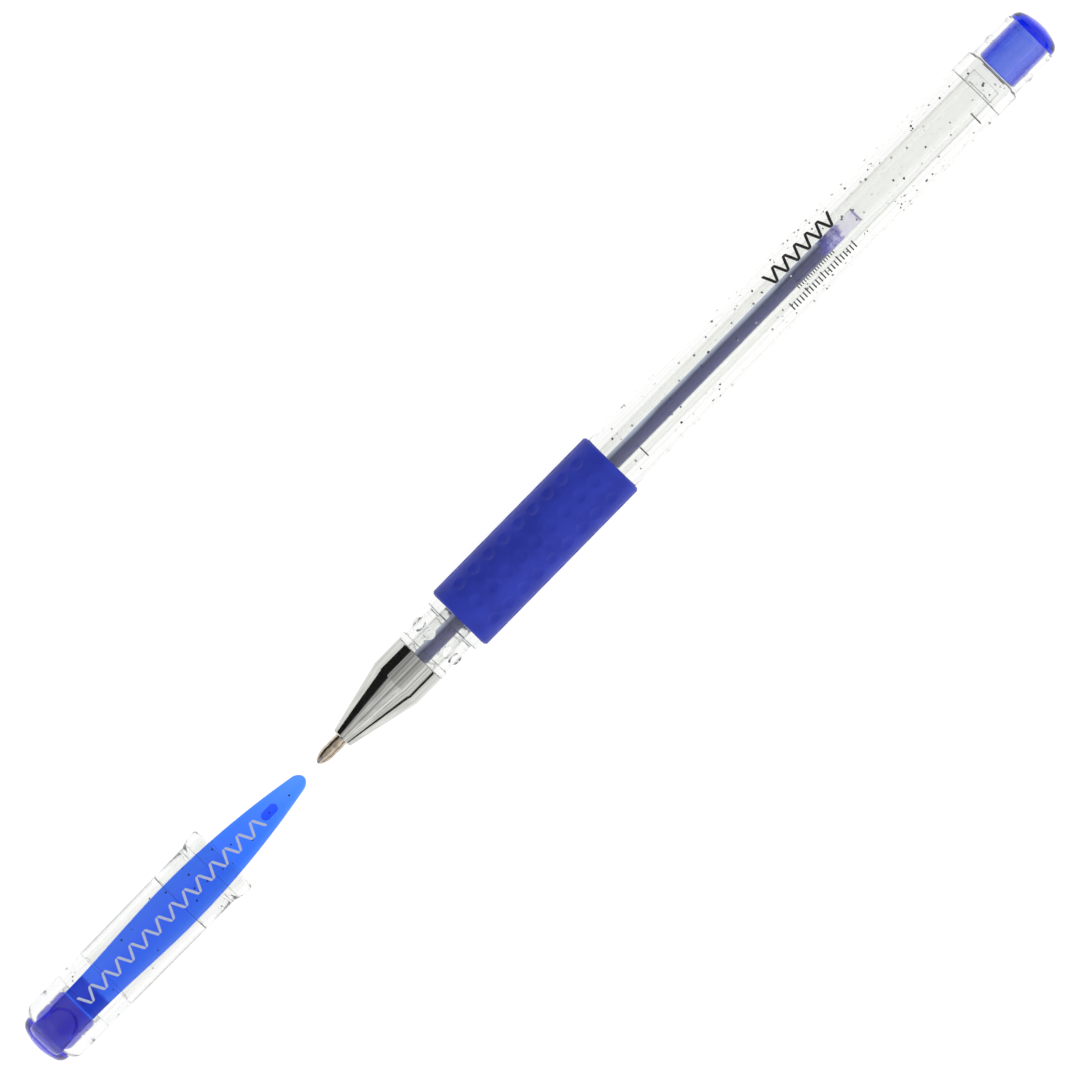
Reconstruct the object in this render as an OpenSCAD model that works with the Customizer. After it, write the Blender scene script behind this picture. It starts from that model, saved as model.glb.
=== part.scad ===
// Capped gel pen, drawn with the cap pulled off and lying in line with the writing tip.
// X runs along the pen from the cap's crown to the end plug, and Z is up, through the clip.
// The origin is under the middle of the pen, on the surface that it lies on.
// Every x below is counted in millimetres from the front of the writing ball, towards the end plug.

/* [Barrel] */
// Rear end of the barrel
barrel_end = 138.9; // [136:0.1:142]
// Outside diameter of the barrel
barrel_d = 9; // [8.9:0.1:9.2]
// Diameter of the bore that holds the refill
bore_d = 5.2; // [5.1:0.05:5.4]
// Length of the slimmer seat at the rear, where the cap is posted
seat_len = 7.3; // [6.5:0.1:8]
// Diameter of that seat
seat_d = 8.1; // [7.9:0.1:8.3]

/* [Neck] */
// Front of the neck, where the nose cone stops
neck_front = 20; // [19.5:0.1:20.5]
// Diameter of the neck between its two flanges
neck_d = 7.6; // [7.2:0.1:7.8]
// Number of snap nubs round the neck
nub_count = 6; // [4:1:8]
// Height of a nub above the neck
nub_rise = 0.4; // [0.2:0.05:0.4]

/* [Grip] */
// Front of the grip sleeve
grip_front = 27.5; // [27:0.1:28]
// Length of the grip sleeve
grip_len = 29.8; // [28:0.1:32]
// Outside diameter of the grip sleeve
grip_d = 10.25; // [9.8:0.05:10.3]
// Dimples along one row
dimples_per_row = 9; // [5:1:9]
// Rows of dimples round the grip
dimple_rows = 9; // [6:1:10]
// Depth of a dimple
dimple_depth = 0.25; // [0.15:0.05:0.35]

/* [Nose cone and tip] */
// Front of the nose cone
cone_front = 4.7; // [4.5:0.1:4.9]
// Diameter of the nose cone's front face
cone_front_d = 3.1; // [2.9:0.1:3.3]
// Diameter of the nose cone's straight part
cone_d = 8; // [7.8:0.1:8]
// Diameter of the writing ball
ball_d = 0.7; // [0.5:0.1:0.8]
// Diameter of the metal tip
tip_d = 1.9; // [1.8:0.05:2]

/* [Refill] */
// Outside diameter of the refill tube
tube_d = 4.8; // [4.6:0.05:5]
// Inside diameter of the refill tube
tube_bore_d = 2.4; // [2.3:0.05:2.6]
// Rear end of the refill tube
tube_end = 130.1; // [129:0.1:131]
// Rear end of the ink
ink_end = 100.2; // [30:0.1:120]
// Length of the grease plug behind the ink
follower_len = 4.6; // [3:0.1:6]

/* [Cap] */
// Mouth of the cap when it is off, in front of the ball
cap_mouth = -18.2; // [-30:0.1:-18]
// Length of the clear cap shell
cap_len = 34.1; // [34:0.05:34.3]
// Diameter of the cap just behind its flared mouth
cap_d = 10.1; // [10:0.1:10.3]
// Diameter of the cap at the crown end
crown_end_d = 9.74; // [9.6:0.02:9.9]
// Diameter of the flared mouth
mouth_d = 11; // [10.8:0.1:11.4]

/* [Clip] */
// Half width of the clip where it leaves the crown
clip_root_half = 2.65; // [2.4:0.05:2.9]
// Half width of the clip at its widest
clip_wide_half = 3.3; // [3:0.05:3.6]
// Height of the clip's highest point above the pen's axis
clip_top = 8.15; // [8:0.05:8.6]

/* [Fits] */
// Radial gap of the parts that slide or turn in one another
running_gap = 0.05; // [0.02:0.01:0.08]
// Radial gap between parts that are pushed together for good
seated_gap = 0.02; // [0.01:0.01:0.03]

/* [Hidden] */
$fn = 96;
EPS = 0.05;

// Barrel stations along the pen
spigot_front = 15.6;
flange_thin = 1.05;
neck_end = 26.1;
seat_front = barrel_end - seat_len;
plug_bore_front = seat_front - 3.5;
bead_x = seat_front + 3;
plug_shank_front = seat_front + 0.3;
grip_end = grip_front + grip_len;
nub_x = 23.3;

// Barrel radii
barrel_r = barrel_d / 2;
bore_r = bore_d / 2;
spigot_r = 3.25;
flange_r = 4.1;
neck_r = neck_d / 2;
grip_seat_r = 4;
seat_r = seat_d / 2;
plug_bore_r = 3.3;

// Plugs that close the barrel and the cap
shank_r = plug_bore_r - running_gap;
bead_rise = 0.12;
bead_half = 0.45;
plug_hollow_r = 1.6;
dome_r = 3.85;
dome_h = 2.1;
dome_corner_r = 1.5;

// Refill stations and radii
tube_front = 14.5;
holder_front = 7.6;
holder_shank_end = 19;
tip_shank_end = 11.4;
tip_r = tip_d / 2;
tip_shank_r = 0.8;
ball_r = ball_d / 2;
ink_front = holder_shank_end + seated_gap;
follower_end = ink_end + follower_len;

// Cap stations and bores
cap_end = cap_mouth - cap_len;
crown_end = cap_end - seated_gap - dome_h;
mouth_r = mouth_d / 2;
mouth_bore_r = 4.6;
snap_ring_r = 4.26;
middle_bore_r = 4.32;
deep_bore_r = 4.12;
nose_bore_r = 2.6;
flare_len = 3;
mouth_bore_end = cap_mouth - 2.2;
snap_ring_x = cap_mouth - 3.1;
middle_bore_end = cap_mouth - 8.5;
deep_bore_end = cap_mouth - 23;
ledge_x = cap_mouth - 27.3;
seal_thick = 0.9;
crown_shank_end = ledge_x - seal_thick - 2 * seated_gap;

// Clip stations, counted like the rest, and heights above the axis
clip_tip = cap_mouth + 15.7;
clip_widest = cap_mouth - 8.8;
clip_taper = 0.0039;
clip_tip_r = 1.2;
knuckle_x = cap_end + 2.7;
knuckle_z = 6.55;
knuckle_r = 0.85;
nub_front_x = cap_mouth + 9.6;
clip_nub_len = 2.7;
clip_nub_width = 1.3;
clip_nub_z = 5.38;

// Where the ball's front and the pen's axis stand in the part's own frame
plug_end = barrel_end + seated_gap + dome_h;
ball_front_x = -(plug_end + crown_end) / 2;
axis_z = mouth_r;

// Puts children, drawn from the ball's front on the pen's axis, in the part's frame
module on_pen() {
    translate([ball_front_x, 0, axis_z]) children();
}

// Round rod along the pen from x0 to x1
module rod(x0, x1, r) {
    translate([x0, 0, 0]) rotate([0, 90, 0]) cylinder(h = x1 - x0, r = r);
}

// Straight taper along the pen, r0 at x0 and r1 at x1
module taper(x0, x1, r0, r1) {
    translate([x0, 0, 0]) rotate([0, 90, 0]) cylinder(h = x1 - x0, r1 = r0, r2 = r1);
}

// Low ring with sloping sides that stands out from, or is cut into, a round wall
module bead(x, r, rise, half_len) {
    taper(x - half_len, x, r, r + rise);
    taper(x, x + half_len, r + rise, r);
}

// Solid of revolution about the pen's axis; the outline's points are [radius, x]
module turned(outline) {
    rotate([0, 90, 0]) rotate_extrude() polygon(outline);
}

// Points on an arc about [cr, cx], from angle a0 to a1 in the [radius, x] plane
function arc(cr, cx, r, a0, a1, steps) =
    [for (i = [0:steps]) let (a = a0 + (a1 - a0) * i / steps) [cr + r * cos(a), cx + r * sin(a)]];

// Points on the circle through p, q and s, from p to s
function arc_through(p, q, s, steps) =
    let (
        d = 2 * (p.x * (q.y - s.y) + q.x * (s.y - p.y) + s.x * (p.y - q.y)),
        pp = p * p,
        qq = q * q,
        ss = s * s,
        cx = (pp * (q.y - s.y) + qq * (s.y - p.y) + ss * (p.y - q.y)) / d,
        cy = (pp * (s.x - q.x) + qq * (p.x - s.x) + ss * (q.x - p.x)) / d,
        r = norm(p - [cx, cy]),
        a0 = atan2(p.y - cy, p.x - cx),
        turn = (atan2(s.y - cy, s.x - cx) - a0 + 540) % 360 - 180
    )
    [for (i = [0:steps]) [cx + r * cos(a0 + turn * i / steps), cy + r * sin(a0 + turn * i / steps)]];

// Dome of a plug: a rounded rim that runs into a flatter crown; it bulges towards +x from its base
module dome(base_x) {
    rim_r = dome_r - dome_corner_r;
    rim_x = 0.15;
    rise = dome_h - rim_x;
    crown_r = (rise * rise + rim_r * rim_r - dome_corner_r * dome_corner_r) / (2 * (rise - dome_corner_r));
    join = atan2(rim_x - dome_h + crown_r, rim_r);
    rim = arc(rim_r, rim_x, dome_corner_r, 0, join, 6);
    crown_arc = arc(0, dome_h - crown_r, crown_r, join, 90, 6);
    translate([base_x, 0, 0]) turned(concat([[0, 0], [dome_r, 0]], rim, crown_arc));
}

// Blind plug with its bead and hollow shank, its shank from x0 to x1 and its dome behind x1
module plug(x0, x1, bead_at) {
    chamfer = 0.35;
    dome(x1 + seated_gap);
    difference() {
        union() {
            rod(x0 + chamfer, x1 + 2 * seated_gap, shank_r);
            taper(x0, x0 + chamfer, shank_r - chamfer, shank_r);
            bead(bead_at, shank_r, bead_rise, bead_half);
        }
        rod(x0 - EPS, x1 - EPS, plug_hollow_r);
    }
}

// Clear barrel: threaded spigot, flanged neck with its snap nubs, grip seat, tube and cap seat
module barrel() {
    nub_r = 1.15;
    rim = 0.2;
    color([0.86, 0.89, 0.9, 0.45]) on_pen() difference() {
        union() {
            rod(spigot_front, neck_front + EPS, spigot_r);
            rod(neck_front, neck_front + flange_thin, flange_r);
            rod(neck_front, neck_end + EPS, neck_r);
            for (i = [0:nub_count - 1])
                rotate([35 + i * 360 / nub_count, 0, 0])
                    translate([nub_x, 0, neck_r + nub_rise - nub_r]) sphere(r = nub_r);
            rod(neck_end, grip_front, barrel_r);
            rod(grip_front - EPS, grip_end + EPS, grip_seat_r);
            rod(grip_end, seat_front - rim, barrel_r);
            taper(seat_front - rim, seat_front, barrel_r, barrel_r - rim);
            rod(seat_front - EPS, barrel_end, seat_r);
            bead(bead_x, seat_r, 0.2, 0.6);
            bead(barrel_end - 0.6, seat_r, 0.1, 0.4);
        }
        rod(spigot_front - EPS, plug_bore_front + EPS, bore_r);
        rod(plug_bore_front, barrel_end + EPS, plug_bore_r);
        bead(bead_x, plug_bore_r, bead_rise, bead_half + seated_gap);
    }
}

// Soft grip sleeve with rows of round dimples
module grip() {
    edge = 0.3;
    dimple_r = 0.95;
    ball = (dimple_r * dimple_r + dimple_depth * dimple_depth) / (2 * dimple_depth);
    outer_r = grip_d / 2;
    pitch = (grip_len - 7) / (dimples_per_row - 1);
    color([0.15, 0.18, 0.62]) on_pen() difference() {
        union() {
            taper(grip_front, grip_front + edge, outer_r - edge, outer_r);
            rod(grip_front + edge, grip_end - edge, outer_r);
            taper(grip_end - edge, grip_end, outer_r, outer_r - edge);
        }
        rod(grip_front - EPS, grip_end + EPS, grip_seat_r + seated_gap);
        for (row = [0:dimple_rows - 1], i = [0:dimples_per_row - 1])
            rotate([row * 360 / dimple_rows, 0, 0])
                translate([grip_front + 3.5 + i * pitch, 0, outer_r + ball - dimple_depth]) sphere(r = ball);
    }
}

// Chromed nose cone that screws onto the spigot
module nose_cone() {
    shoulder = 15.2;
    mouth = 6.4;
    cavity_end = 13.5;
    cone_end = neck_front - seated_gap;
    color([0.78, 0.79, 0.81]) on_pen() difference() {
        union() {
            taper(cone_front, cone_front + 0.15, cone_front_d / 2 - 0.15, cone_front_d / 2);
            taper(cone_front + 0.15, shoulder, cone_front_d / 2, cone_d / 2);
            rod(shoulder - EPS, cone_end, cone_d / 2);
        }
        rod(cone_front - EPS, mouth + EPS, tip_r + running_gap);
        taper(mouth, cavity_end, tip_r + running_gap, 2.65);
        rod(cavity_end - EPS, spigot_front - 0.1, 2.65);
        rod(spigot_front - 0.2, cone_end + EPS, spigot_r + running_gap);
    }
}

// Blue end plug pushed into the back of the barrel
module end_plug() {
    color([0.1, 0.2, 0.75, 0.85]) on_pen() plug(plug_shank_front, barrel_end, bead_x);
}

// Plastic refill tube
module refill_tube() {
    color([0.85, 0.87, 0.88, 0.6]) on_pen() difference() {
        rod(tube_front, tube_end, tube_d / 2);
        rod(tube_front - EPS, tube_end + EPS, tube_bore_d / 2);
    }
}

// Plastic holder that joins the metal tip to the refill tube
module tip_holder() {
    color([0.9, 0.9, 0.88]) on_pen() difference() {
        union() {
            taper(holder_front, 13, 1.15, tube_d / 2);
            rod(13, tube_front - seated_gap, tube_d / 2);
            rod(tube_front - EPS, holder_shank_end, tube_bore_d / 2 - seated_gap);
        }
        rod(holder_front - EPS, tip_shank_end + 0.1, tip_shank_r + seated_gap);
        rod(tip_shank_end, holder_shank_end + EPS, 0.6);
    }
}

// Turned metal tip with the ball's socket and its ink channel
module tip_body() {
    lip_x = 0.2;
    nose_end = 2.3;
    nose = arc_through([0.42, lip_x], [0.875, 1.5], [tip_r, nose_end], 6);
    color([0.72, 0.6, 0.5]) on_pen() difference() {
        union() {
            turned(concat([[0, lip_x]], nose, [[0, nose_end]]));
            rod(nose_end - EPS, holder_front - seated_gap, tip_r);
            rod(holder_front - EPS, tip_shank_end, tip_shank_r);
        }
        translate([ball_r, 0, 0]) sphere(r = ball_r + 0.02);
        rod(ball_r, 2, 0.12);
        rod(2 - EPS, tip_shank_end + EPS, 0.5);
    }
}

// Ball that rolls in the tip's socket
module writing_ball() {
    color([0.35, 0.33, 0.4]) on_pen() translate([ball_r, 0, 0]) sphere(r = ball_r);
}

// Gel ink that fills the refill tube
module ink_column() {
    color([0.03, 0.03, 0.25]) on_pen() rod(ink_front, ink_end, tube_bore_d / 2 - seated_gap);
}

// Clear grease that follows the ink up the tube, hollowed where it meets the air
module ink_follower() {
    follower_r = tube_bore_d / 2 - running_gap;
    dish_r = 1.8;
    dish = 0.45;
    color([0.75, 0.7, 0.85, 0.7]) on_pen() difference() {
        rod(ink_end + seated_gap, follower_end, follower_r);
        translate([follower_end + dish_r - dish, 0, 0]) sphere(r = dish_r);
    }
}

// Clear cap shell: rounded crown end, flared mouth and stepped bore
module cap_shell() {
    shoulder_r = 1.6;
    lip_r = 0.45;
    end_r = crown_end_d / 2;
    flare_start = cap_mouth - flare_len;
    shoulder = arc(end_r - shoulder_r, cap_end + shoulder_r, shoulder_r, -90, 0, 8);
    flare = arc_through([cap_d / 2, flare_start], [cap_d / 2 + 0.3, flare_start + 0.85], [mouth_r, flare_start + 1.7], 6);
    lip = arc(mouth_r - lip_r, cap_mouth - lip_r, lip_r, 0, 90, 5);
    color([0.86, 0.89, 0.9, 0.45]) on_pen() difference() {
        turned(concat([[0, cap_end]], shoulder, flare, lip, [[0, cap_mouth]]));
        rod(cap_end - EPS, ledge_x, plug_bore_r);
        bead(cap_end + 3.7, plug_bore_r, bead_rise, bead_half + seated_gap);
        rod(ledge_x - EPS, deep_bore_end + EPS, nose_bore_r);
        rod(deep_bore_end, middle_bore_end + EPS, deep_bore_r);
        rod(middle_bore_end, snap_ring_x - 0.3, middle_bore_r);
        rod(snap_ring_x - 0.3 - EPS, cap_mouth, snap_ring_r);
        rod(snap_ring_x + 0.3, mouth_bore_end + EPS, middle_bore_r);
        rod(mouth_bore_end, cap_mouth + EPS, mouth_bore_r);
        taper(cap_mouth - 0.25, cap_mouth + EPS, mouth_bore_r, mouth_bore_r + 0.3);
    }
}

// Soft disc that closes on the writing ball when the cap is on, dished where the ball presses
module tip_seal() {
    face_x = ledge_x - seated_gap;
    dish_r = 1.2;
    dish = 0.3;
    color([0.93, 0.94, 0.95]) on_pen() difference() {
        rod(face_x - seal_thick, face_x, shank_r);
        translate([face_x + dish_r - dish, 0, 0]) sphere(r = dish_r);
    }
}

// Blue crown: dome, plug shank, the neck that carries the clip, and the pad under the clip's root
module crown() {
    half = clip_root_half;
    pad_r = 2.3;
    head_top = knuckle_z + knuckle_r + 0.3;
    back = arc_through([crown_end + 1, 2.6], [crown_end + 1.5, 5.7], [knuckle_x - 1.1, head_top], 8);
    color([0.1, 0.22, 0.8, 0.85]) on_pen() {
        mirror([1, 0, 0]) plug(-crown_shank_end, -cap_end, -(cap_end + 3.7));
        difference() {
            translate([0, half, 0]) rotate([90, 0, 0]) linear_extrude(2 * half)
                polygon(concat(back, [
                    [knuckle_x, head_top],
                    [knuckle_x, 5.1],
                    [cap_end - seated_gap, 5.1],
                    [cap_end - seated_gap, 2.6]
                ]));
            translate([knuckle_x, half + EPS, knuckle_z]) rotate([90, 0, 0])
                cylinder(h = 2 * half + 2 * EPS, r = knuckle_r + running_gap);
        }
        intersection() {
            translate([knuckle_x - 0.1, 0, 5.1]) cylinder(h = 0.55, r = pad_r);
            translate([knuckle_x - 0.1, -pad_r, 5]) cube([pad_r + 1, 2 * pad_r, 1]);
        }
    }
}

// Half width of the clip at x
function clip_half(x) =
    let (
        swell = max(0, min(1, (x - clip_widest + 19) / 19)),
        smooth = swell * swell * (3 - 2 * swell),
        behind = clip_root_half + (clip_wide_half - clip_root_half) * smooth,
        ahead = clip_wide_half - clip_taper * pow(x - clip_widest, 2)
    )
    x < clip_widest ? behind : ahead;

// Clip arm: a leaf-shaped blade, bowed over the cap, with a nub that grips the pocket
module clip_arm() {
    root_x = knuckle_x + 0.12;
    round_x = clip_tip - clip_tip_r;
    side = [for (i = [0:24]) let (x = root_x + (round_x - root_x) * i / 24) [x, clip_half(x)]];
    tip_half = clip_half(round_x);
    tip_arc = [for (i = [1:5]) let (a = 90 - 15 * i) [round_x + clip_tip_r * cos(a), tip_half * sin(a)]];
    right = concat(side, tip_arc);
    left = [for (i = [len(right) - 1:-1:0]) [right[i].x, -right[i].y]];
    top = arc_through([root_x, knuckle_z + 0.8], [clip_widest - 3, clip_top], [clip_tip, 6.75], 16);
    under = arc_through([clip_tip, 5.95], [clip_widest - 3, clip_top - 1.6], [root_x, knuckle_z - 0.8], 16);
    color([0.2, 0.42, 0.98, 0.85]) on_pen() {
        intersection() {
            translate([0, 0, knuckle_z - 2]) linear_extrude(5) polygon(concat(right, left));
            translate([0, clip_wide_half + 1, 0]) rotate([90, 0, 0]) linear_extrude(2 * clip_wide_half + 2)
                polygon(concat(top, under));
        }
        translate([knuckle_x, clip_root_half - 0.02, knuckle_z]) rotate([90, 0, 0])
            cylinder(h = 2 * clip_root_half - 0.04, r = knuckle_r);
        translate([nub_front_x, 0, clip_nub_z]) cylinder(h = 1.5, r = clip_nub_width / 2);
        translate([nub_front_x - (clip_nub_len - clip_nub_width) / 2, 0, clip_nub_z])
            cylinder(h = 1.5, r = clip_nub_width / 2);
    }
}

barrel();
grip();
nose_cone();
end_plug();
refill_tube();
tip_holder();
tip_body();
writing_ball();
ink_column();
ink_follower();
cap_shell();
tip_seal();
crown();
clip_arm();
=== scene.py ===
"""Looks of the capped gel pen: detailed pieces, materials, floor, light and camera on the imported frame.

Lengths in this file are in millimetres unless a name says otherwise. x is counted from the front of
the writing ball towards the end plug, y across and z up from the pen's axis, as in the CAD source.
"""
import math
import random

import bmesh
import bpy
import numpy as np
from mathutils import Matrix, Vector


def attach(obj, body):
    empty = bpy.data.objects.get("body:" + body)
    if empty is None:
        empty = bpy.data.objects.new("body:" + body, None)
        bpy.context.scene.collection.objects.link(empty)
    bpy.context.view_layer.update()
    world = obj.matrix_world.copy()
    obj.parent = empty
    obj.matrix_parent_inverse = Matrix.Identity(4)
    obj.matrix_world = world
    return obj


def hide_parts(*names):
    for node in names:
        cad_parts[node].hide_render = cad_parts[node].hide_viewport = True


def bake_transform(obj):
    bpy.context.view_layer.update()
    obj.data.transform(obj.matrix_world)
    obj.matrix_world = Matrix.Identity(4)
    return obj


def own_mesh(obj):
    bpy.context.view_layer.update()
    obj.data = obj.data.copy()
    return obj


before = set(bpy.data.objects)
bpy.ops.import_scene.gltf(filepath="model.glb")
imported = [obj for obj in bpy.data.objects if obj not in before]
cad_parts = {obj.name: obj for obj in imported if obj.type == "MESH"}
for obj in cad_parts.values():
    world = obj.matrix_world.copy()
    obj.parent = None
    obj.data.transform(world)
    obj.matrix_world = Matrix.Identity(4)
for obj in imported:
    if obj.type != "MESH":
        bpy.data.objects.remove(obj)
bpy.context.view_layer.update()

MM = 0.001
BALL_X = -43.3
AXIS_Z = 5.5
CAP_MOUTH, CAP_END = -18.2, -52.3
PAD_X = CAP_END + 2.6
BARREL_R, BORE_R, SPIGOT_R, NECK_R = 4.5, 2.6, 3.25, 3.8
PLUG_BORE_R, BEAD_BORE_R = 3.3, 3.42
TUBE_R, TUBE_BORE_R = 2.4, 1.2


# ---------------------------------------------------------------- mesh helpers

def place(x, y, z):
    """A point given from the ball's front on the axis, in the row's frame in metres."""
    return ((x + BALL_X) * MM, y * MM, (z + AXIS_Z) * MM)


def add_mesh(name, verts, faces, material, sharp=32):
    """A new object from points in millimetres, smooth but for edges sharper than the angle."""
    mesh = bpy.data.meshes.new(name)
    mesh.from_pydata([place(*v) for v in verts], [], faces)
    bm = bmesh.new()
    bm.from_mesh(mesh)
    bmesh.ops.remove_doubles(bm, verts=bm.verts, dist=1e-8)
    bmesh.ops.recalc_face_normals(bm, faces=bm.faces)
    bm.to_mesh(mesh)
    bm.free()
    mesh.materials.append(material)
    obj = bpy.data.objects.new(name, mesh)
    bpy.context.scene.collection.objects.link(obj)
    smooth(obj, sharp)
    return obj


def smooth(obj, sharp=32):
    mesh = obj.data
    mesh.polygons.foreach_set("use_smooth", [True] * len(mesh.polygons))
    mesh.set_sharp_from_angle(angle=math.radians(sharp))


def rounded(points, closed=True, steps=4):
    """An outline with its corners rounded; a point is (x, r) or (x, r, corner radius)."""
    out = []
    count = len(points)
    for i, point in enumerate(points):
        here = np.array(point[:2], float)
        radius = point[2] if len(point) > 2 else 0
        if not radius or (not closed and i in (0, count - 1)):
            out.append(tuple(here))
            continue
        back = np.array(points[i - 1][:2], float) - here
        ahead = np.array(points[(i + 1) % count][:2], float) - here
        len_back, len_ahead = np.linalg.norm(back), np.linalg.norm(ahead)
        back, ahead = back / len_back, ahead / len_ahead
        half = math.acos(max(-1, min(1, float(back @ ahead)))) / 2
        cut = min(radius / max(math.tan(half), 1e-6), 0.48 * len_back, 0.48 * len_ahead)
        start, end = here + back * cut, here + ahead * cut
        for k in range(steps + 1):
            t = k / steps
            out.append(tuple((1 - t) ** 2 * start + 2 * t * (1 - t) * here + t * t * end))
    return out


def run(x0, r0, x1, r1, steps):
    """Points between two stations, the ends left out."""
    return [(x0 + (x1 - x0) * i / steps, r0 + (r1 - r0) * i / steps) for i in range(1, steps)]


def arc(cx, cr, radius, a0, a1, steps):
    """Points on an arc about (cx, cr); angles in degrees from +x towards +r."""
    turn = [math.radians(a0 + (a1 - a0) * i / steps) for i in range(steps + 1)]
    return [(cx + radius * math.cos(a), cr + radius * math.sin(a)) for a in turn]


def arc_through(p, q, s, steps):
    """Points on the circle through p, q and s, from p to s."""
    d = 2 * (p[0] * (q[1] - s[1]) + q[0] * (s[1] - p[1]) + s[0] * (p[1] - q[1]))
    pp, qq, ss = (a[0] ** 2 + a[1] ** 2 for a in (p, q, s))
    cx = (pp * (q[1] - s[1]) + qq * (s[1] - p[1]) + ss * (p[1] - q[1])) / d
    cy = (pp * (s[0] - q[0]) + qq * (p[0] - s[0]) + ss * (q[0] - p[0])) / d
    radius = math.hypot(p[0] - cx, p[1] - cy)
    a0 = math.atan2(p[1] - cy, p[0] - cx)
    turn = (math.atan2(s[1] - cy, s[0] - cx) - a0 + 3 * math.pi) % (2 * math.pi) - math.pi
    angles = [a0 + turn * i / steps for i in range(steps + 1)]
    return [(cx + radius * math.cos(a), cy + radius * math.sin(a)) for a in angles]


def lathe(name, outline, material, segments=160, closed=True, relief=None, sharp=32):
    """Turns an outline of (x, r) points about the pen's axis. relief(x, turn, r) returns changed radii."""
    xs = np.array([p[0] for p in outline], float)
    rs = np.array([p[1] for p in outline], float)
    turn = np.arange(segments) * 2 * math.pi / segments
    grid_x = np.repeat(xs[:, None], segments, 1)
    grid_r = np.repeat(rs[:, None], segments, 1)
    grid_t = np.repeat(turn[None, :], len(xs), 0)
    if relief is not None:
        grid_r = relief(grid_x, grid_t, grid_r)
    verts = np.stack([grid_x, grid_r * np.sin(grid_t), grid_r * np.cos(grid_t)], -1).reshape(-1, 3)
    faces = []
    last = len(xs) if closed else len(xs) - 1
    for i in range(last):
        j = (i + 1) % len(xs)
        if rs[i] < 1e-9 and rs[j] < 1e-9:
            continue
        for k in range(segments):
            m = (k + 1) % segments
            a, b, c, d = i * segments + k, i * segments + m, j * segments + m, j * segments + k
            if rs[i] < 1e-9:
                faces.append((i * segments, c, d))
            elif rs[j] < 1e-9:
                faces.append((a, b, j * segments))
            else:
                faces.append((a, b, c, d))
    used = sorted({v for f in faces for v in f})
    index = {v: n for n, v in enumerate(used)}
    return add_mesh(name, verts[used].tolist(), [[index[v] for v in f] for f in faces], material, sharp)


def union(base, *others):
    """Joins closed meshes into one closed skin."""
    for other in others:
        mod = base.modifiers.new("join", "BOOLEAN")
        mod.operation = "UNION"
        mod.solver = "EXACT"
        mod.object = other
    graph = bpy.context.evaluated_depsgraph_get()
    mesh = bpy.data.meshes.new_from_object(base.evaluated_get(graph))
    base.modifiers.clear()
    base.data = mesh
    for other in others:
        bpy.data.objects.remove(other)
    smooth(base)
    return base


def wrap_gap(a, b):
    """Smallest difference between angles."""
    return (a - b + math.pi) % (2 * math.pi) - math.pi


# ---------------------------------------------------------------- materials

NOISE_ROUGHNESS = 0.55
MAP_RANGE = ("From Min", "From Max", "To Min", "To Max")


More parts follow.
